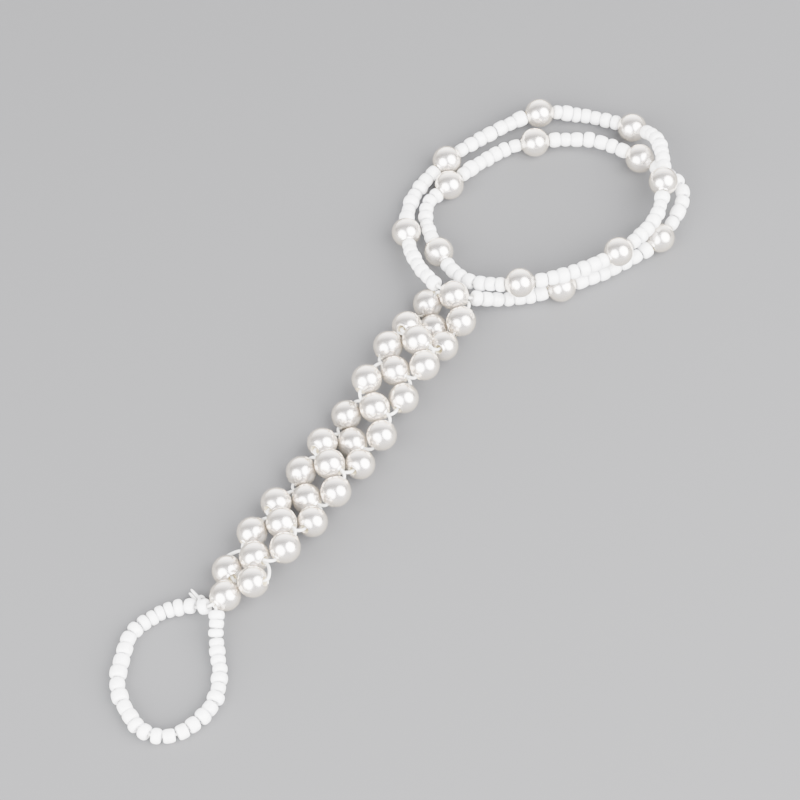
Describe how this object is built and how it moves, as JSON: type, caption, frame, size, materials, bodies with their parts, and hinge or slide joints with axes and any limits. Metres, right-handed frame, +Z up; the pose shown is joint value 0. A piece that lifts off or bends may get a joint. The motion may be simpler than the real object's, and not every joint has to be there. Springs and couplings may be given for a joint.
{
  "type": "barefoot sandal",
  "caption": "Barefoot sandal of beads on elastic: a double ankle string, an instep band of pearls in right-angle weave, and a toe loop.",
  "frame": {"origin": "middle of the piece's bounding box, on the surface it lies on", "axes": "+Z up from the surface; +Y from the toe loop towards the far side of the ankle string, along the longest extent; +X to the right as the viewer saw it"},
  "size_m": [0.1528, 0.1978, 0.0155],
  "materials": {
    "pearl": "gloss",
    "glass_bead": "satin",
    "elastic": "satin"
  },
  "bodies": {
    "root": {"cross_pearl_1": "pearl", "cross_pearl_2": "pearl", "cross_pearl_3": "pearl", "cross_pearl_4": "pearl", "cross_pearl_5": "pearl", "cross_pearl_6": "pearl", "cross_pearl_7": "pearl", "cross_pearl_8": "pearl", "cross_pearl_9": "pearl", "cross_pearl_10": "pearl", "cross_pearl_11": "pearl", "left_pearl_1": "pearl", "left_pearl_2": "pearl", "left_pearl_3": "pearl", "left_pearl_4": "pearl", "left_pearl_5": "pearl", "left_pearl_6": "pearl", "left_pearl_7": "pearl", "left_pearl_8": "pearl", "left_pearl_9": "pearl", "left_pearl_10": "pearl", "right_pearl_1": "pearl", "right_pearl_2": "pearl", "right_pearl_3": "pearl", "right_pearl_4": "pearl", "right_pearl_5": "pearl", "right_pearl_6": "pearl", "right_pearl_7": "pearl", "right_pearl_8": "pearl", "right_pearl_9": "pearl", "right_pearl_10": "pearl", "ankle_pearl_1": "pearl", "ankle_pearl_2": "pearl", "ankle_pearl_3": "pearl", "ankle_pearl_4": "pearl", "ankle_pearl_5": "pearl", "ankle_pearl_6": "pearl", "ankle_pearl_7": "pearl", "ankle_pearl_8": "pearl", "ankle_pearl_9": "pearl", "ankle_pearl_10": "pearl", "ankle_pearl_11": "pearl", "ankle_pearl_12": "pearl", "ankle_pearl_13": "pearl", "ankle_glass_beads": "glass_bead", "toe_glass_beads": "glass_bead", "ankle_elastic": "elastic", "band_elastic": "elastic"}
  },
  "joints": []
}
